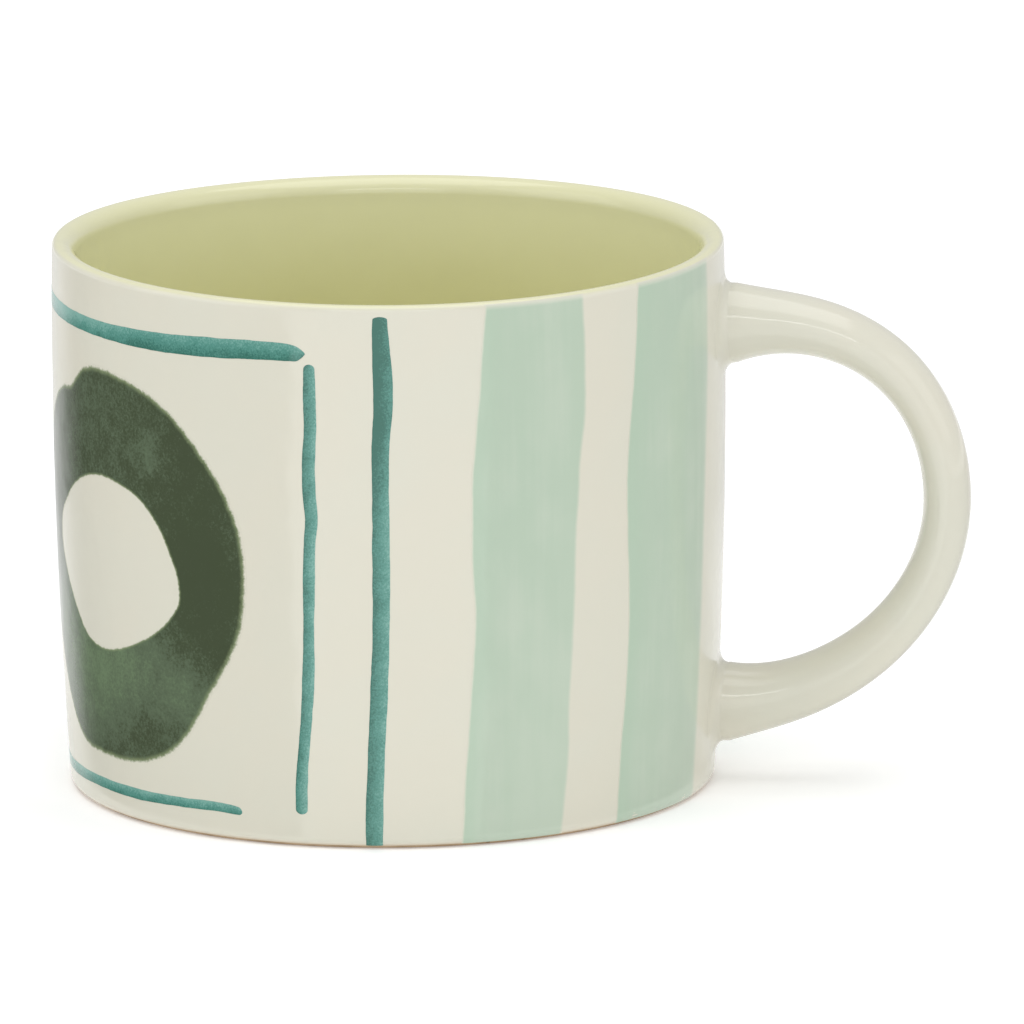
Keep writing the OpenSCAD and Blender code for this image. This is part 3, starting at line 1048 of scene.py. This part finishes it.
def make_camera():
    """The view of the painted side from a little above, with the handle at the right."""
    back = facing(VIEW_AZIMUTH, VIEW_ELEVATION)
    right = Vector((0, 0, 1)).cross(back).normalized()
    data = bpy.data.cameras.new("view")
    data.lens = VIEW_DISTANCE * data.sensor_width / VIEW_WIDTH
    data.clip_end = 20
    camera = bpy.data.objects.new("view", data)
    aim = right * AIM_RIGHT + Vector((0, 0, AIM_HEIGHT))
    camera.location = aim + back * VIEW_DISTANCE
    turned = (-back).to_track_quat("-Z", "Y")
    roll = Vector((0, 0, 1))
    camera.rotation_mode = "QUATERNION"
    camera.rotation_quaternion = turned @ Quaternion(roll, math.radians(VIEW_ROLL))
    bpy.context.scene.collection.objects.link(camera)
    bpy.context.scene.camera = camera


def softbox(name, azimuth, elevation, distance, size, brightness):
    """A rectangular white light that faces the mug. brightness is what it would show beside white."""
    data = bpy.data.lights.new(name, "AREA")
    data.shape = "RECTANGLE"
    data.size, data.size_y = size
    data.energy = brightness * math.pi * size[0] * size[1]
    light = bpy.data.objects.new(name, data)
    toward = facing(azimuth, elevation)
    middle = Vector((0, 0, CUP_H / 2))
    light.location = middle + toward * distance
    light.rotation_euler = (-toward).to_track_quat("-Z", "Y").to_euler()
    light.visible_camera = False
    bpy.context.scene.collection.objects.link(light)


def stage_plane(name, corners, material):
    """A flat face of the studio, which isn't part of the mug."""
    mesh = bpy.data.meshes.new(name)
    mesh.from_pydata(corners, [], [tuple(range(len(corners)))])
    mesh.materials.append(material)
    made = bpy.data.objects.new(name, mesh)
    bpy.context.scene.collection.objects.link(made)


def make_card(side, shade):
    """A dark card on the table beside the mug, which only reflections see.

    It edges the round wall with darker gloss. Its lines run where the wall's reflections run, and
    it fades to pale where the wall turns away from the camera."""
    turns = np.linspace(CARD_FROM, CARD_TO, CARD_LINES)
    fade = np.clip((turns - FADE_FROM) / (FADE_TO - FADE_FROM), 0, 1)
    fade = fade * fade * (3 - 2 * fade)
    corners, shades = [], []
    for turn, pale in zip(turns, fade):
        start = facing(VIEW_AZIMUTH + side * turn, 0) * CARD_START + Vector((0, 0, CARD_LIFT))
        way = facing(VIEW_AZIMUTH + 2 * side * turn, 0)
        for length in CARD_LENGTHS:
            corners.append(start + way * length)
            palest = FADE_NEAR if length < CARD_NEAR_PART else FADE_FAR
            shades.append(shade + pale * (palest - shade))
    count = len(CARD_LENGTHS)
    faces = []
    for k in range(CARD_LINES - 1):
        this, following = k * count, (k + 1) * count
        faces += [(this + i, this + i + 1, following + i + 1, following + i) for i in range(count - 1)]
    name = "left_card" if side < 0 else "right_card"
    mesh = bpy.data.meshes.new(name)
    mesh.from_pydata(corners, [], faces)
    attribute = mesh.attributes.new("shade", "FLOAT", "POINT")
    attribute.data.foreach_set("value", np.array(shades, np.float32))
    shader = Shader(name, 0.9, specular=0.2)
    shader.colour(shader.mix(shader.attribute("shade"), (0.0, 0.0, 0.0), (1.0, 1.0, 1.0)))
    mesh.materials.append(shader.material)
    card = bpy.data.objects.new(name, mesh)
    bpy.context.scene.collection.objects.link(card)
    card.visible_camera = card.visible_diffuse = card.visible_shadow = False
    card.visible_transmission = card.visible_volume_scatter = False


def make_studio():
    """A pale glowing floor, even light from all round, soft lights and two cards.

    The soft lights are at the left, right and front and overhead, and a narrow strip gives the
    gloss its sharpest lights."""
    half = 3.0
    floor = [(-half, -half, 0), (half, -half, 0), (half, half, 0), (-half, half, 0)]
    white = Shader("pale_floor", 0.8, specular=0.2)
    white.colour((0.93, 0.93, 0.93))
    white.set(white.surface.inputs["Emission Color"], (1.0, 1.0, 1.0))
    white.set(white.surface.inputs["Emission Strength"], FLOOR_GLOW)
    stage_plane("floor", floor, white.material)
    world = bpy.data.worlds.new("studio")
    world.use_nodes = True
    background = world.node_tree.nodes["Background"]
    background.inputs["Color"].default_value = (1, 1, 1, 1)
    background.inputs["Strength"].default_value = WORLD_LIGHT
    bpy.context.scene.world = world
    softbox("left", -70, 30, 1.6, (1.3, 1.1), 0.8)
    softbox("right", 75, 25, 1.6, (1.3, 1.1), 0.6)
    softbox("front", 6, 12, 1.6, (1.2, 0.6), 0.65)
    softbox("overhead", 0, 90, 2.0, (2.0, 2.0), 1.5)
    softbox("strip", 4, 30, 2.0, (1.2, 0.13), 5.5)
    for side, shade in ((-1, LEFT_SHADE), (1, RIGHT_SHADE)):
        make_card(side, shade)
    bpy.context.scene.view_settings.view_transform = "Standard"


# ---------------------------------------------------------------- all together

make_camera()
clay = clay_material()
make_liner(liner_material())
make_outer_glaze(ivory_material())
make_clay_cup(clay)
make_handle(handle_material(), clay)
teal = teal_material()
make_teal_lines(teal)
make_teal_frame(teal)
make_mint_bands(mint_material())
make_rings(green_material())
make_studio()
